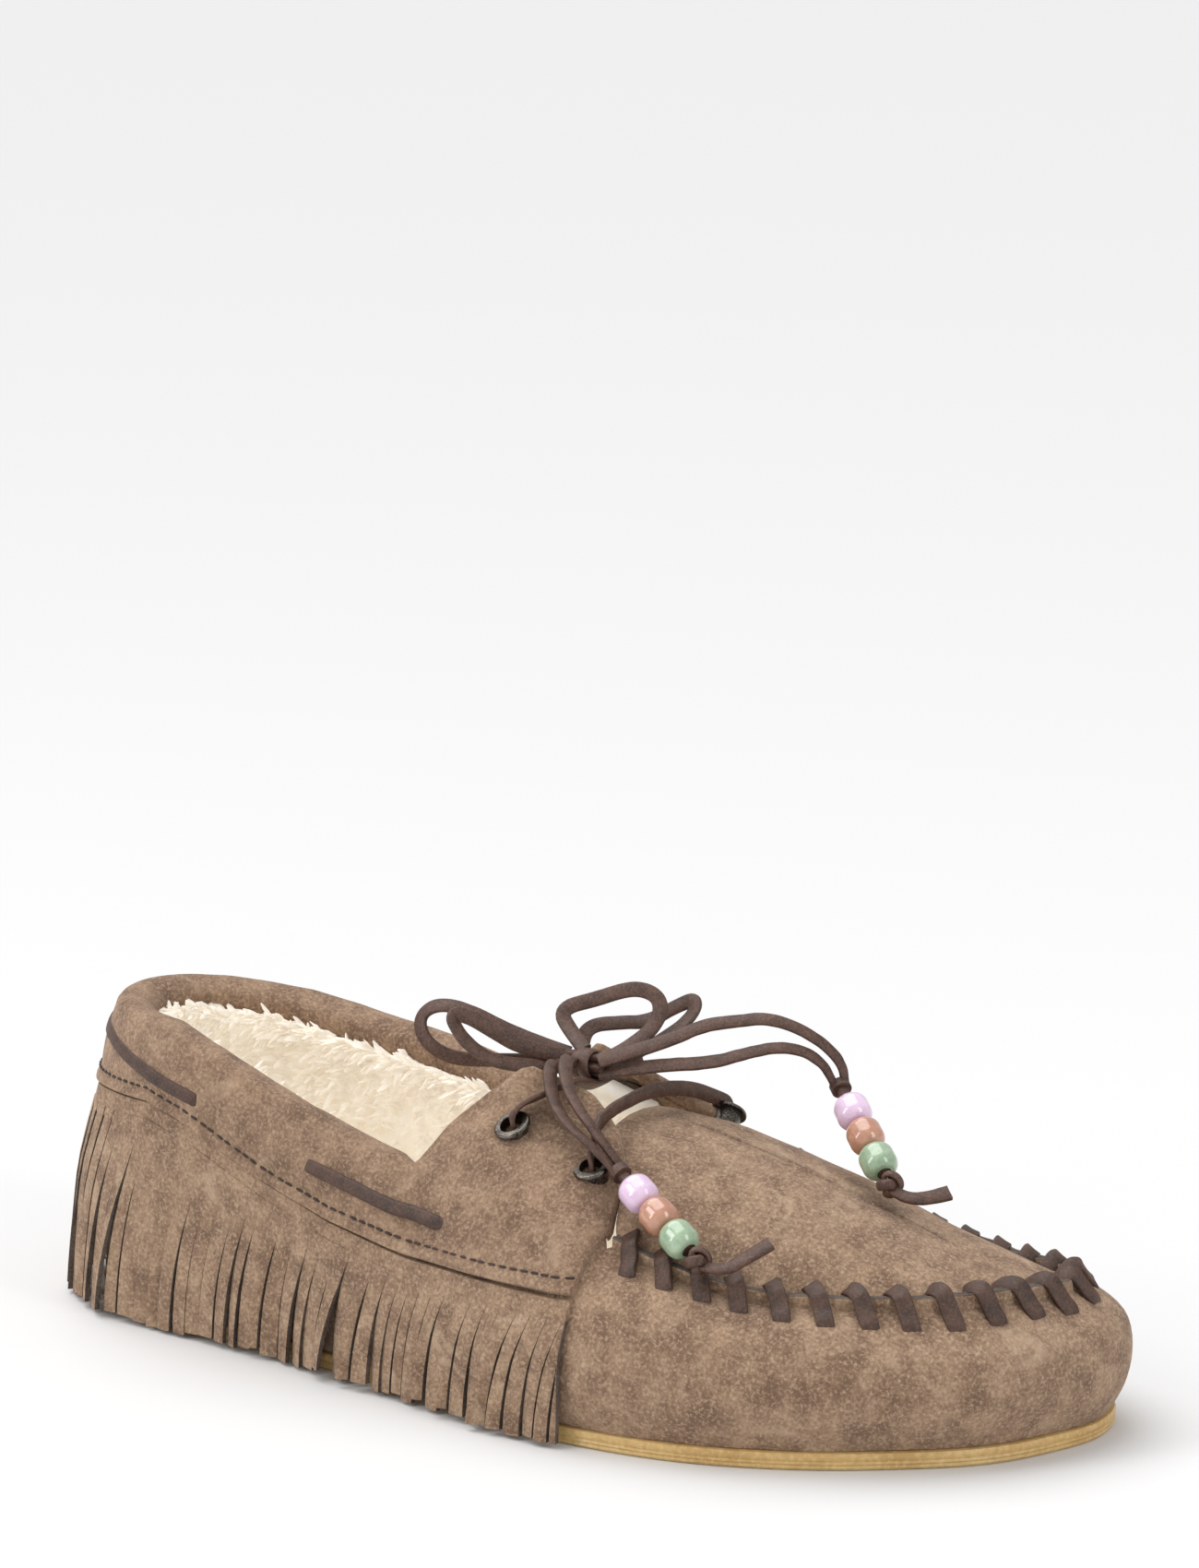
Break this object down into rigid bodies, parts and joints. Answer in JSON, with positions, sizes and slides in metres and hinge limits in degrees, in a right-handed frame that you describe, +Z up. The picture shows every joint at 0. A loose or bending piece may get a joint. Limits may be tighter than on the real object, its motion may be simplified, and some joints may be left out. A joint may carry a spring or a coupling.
{
  "type": "moccasin",
  "caption": "Slip-on suede moccasin for the right foot with a pile lining, fringed sides, laced collar, whip-stitched apron and a bow with beaded lace ends",
  "frame": {"origin": "middle of the footprint on the floor", "axes": "+X from heel to toe, +Y to the wearer's left, which is the inner side of the foot, +Z up"},
  "size_m": [0.2617, 0.1031, 0.0859],
  "materials": {
    "sole_rubber": "translucent gum sole",
    "board": "fibre board",
    "fleece": "long soft pile",
    "suede": "napped suede",
    "lace_leather": "smooth lace leather",
    "thread": "sewing thread",
    "eyelet_metal": "dark antique",
    "bead_pink": "gloss",
    "bead_tan": "gloss",
    "bead_green": "gloss"
  },
  "bodies": {
    "shoe": {"outsole": "sole_rubber", "insole_board": "board", "footbed": "fleece", "heel_counter": "board", "quarter_outer": "suede", "quarter_inner": "suede", "vamp": "suede", "apron": "suede", "apron_lining": "fleece", "vamp_lining": "fleece", "heel_lining": "fleece", "collar": "suede", "fringe_outer": "suede", "fringe_inner": "suede", "collar_lace": "lace_leather", "whip_lace": "lace_leather", "collar_stitching": "thread", "eyelet_washers": "eyelet_metal", "bow_knot": "lace_leather", "eyelet_rear_outer": "eyelet_metal", "eyelet_front_outer": "eyelet_metal", "eyelet_rear_inner": "eyelet_metal", "eyelet_front_inner": "eyelet_metal", "lace_loop_rear_upper": "lace_leather", "lace_loop_rear_lower": "lace_leather", "lace_loop_front_upper": "lace_leather", "lace_loop_front_lower": "lace_leather", "lace_tail_outer_a": "lace_leather", "lace_tail_outer_b": "lace_leather", "lace_tail_inner_a": "lace_leather", "lace_tail_inner_b": "lace_leather", "lace_bar_rear": "lace_leather", "lace_bar_front": "lace_leather", "lace_core_outer": "lace_leather", "lace_core_inner": "lace_leather", "lace_tip_outer": "lace_leather", "lace_tip_inner": "lace_leather", "stop_knot_outer": "lace_leather", "stop_knot_inner": "lace_leather"},
    "green_bead_outer": {"bead_green_outer": "bead_green"},
    "tan_bead_outer": {"bead_tan_outer": "bead_tan"},
    "pink_bead_outer": {"bead_pink_outer": "bead_pink"},
    "green_bead_inner": {"bead_green_inner": "bead_green"},
    "tan_bead_inner": {"bead_tan_inner": "bead_tan"},
    "pink_bead_inner": {"bead_pink_inner": "bead_pink"}
  },
  "joints": [
    {"name": "green_bead_slide_outer", "type": "slide", "parent": "shoe", "child": "green_bead_outer", "axis": [-0.8517, 0.3145, 0.4193], "range_m": [0, 0.0008]},
    {"name": "tan_bead_slide_outer", "type": "slide", "parent": "green_bead_outer", "child": "tan_bead_outer", "axis": [-0.8517, 0.3145, 0.4193], "range_m": [0, 0.0008]},
    {"name": "pink_bead_slide_outer", "type": "slide", "parent": "tan_bead_outer", "child": "pink_bead_outer", "axis": [-0.8517, 0.3145, 0.4193], "range_m": [0, 0.0008]},
    {"name": "green_bead_slide_inner", "type": "slide", "parent": "shoe", "child": "green_bead_inner", "axis": [-0.7177, 0.5151, 0.4686], "range_m": [0, 0.001]},
    {"name": "tan_bead_slide_inner", "type": "slide", "parent": "green_bead_inner", "child": "tan_bead_inner", "axis": [-0.7177, 0.5151, 0.4686], "range_m": [0, 0.001]},
    {"name": "pink_bead_slide_inner", "type": "slide", "parent": "tan_bead_inner", "child": "pink_bead_inner", "axis": [-0.7177, 0.5151, 0.4686], "range_m": [0, 0.001]}
  ]
}
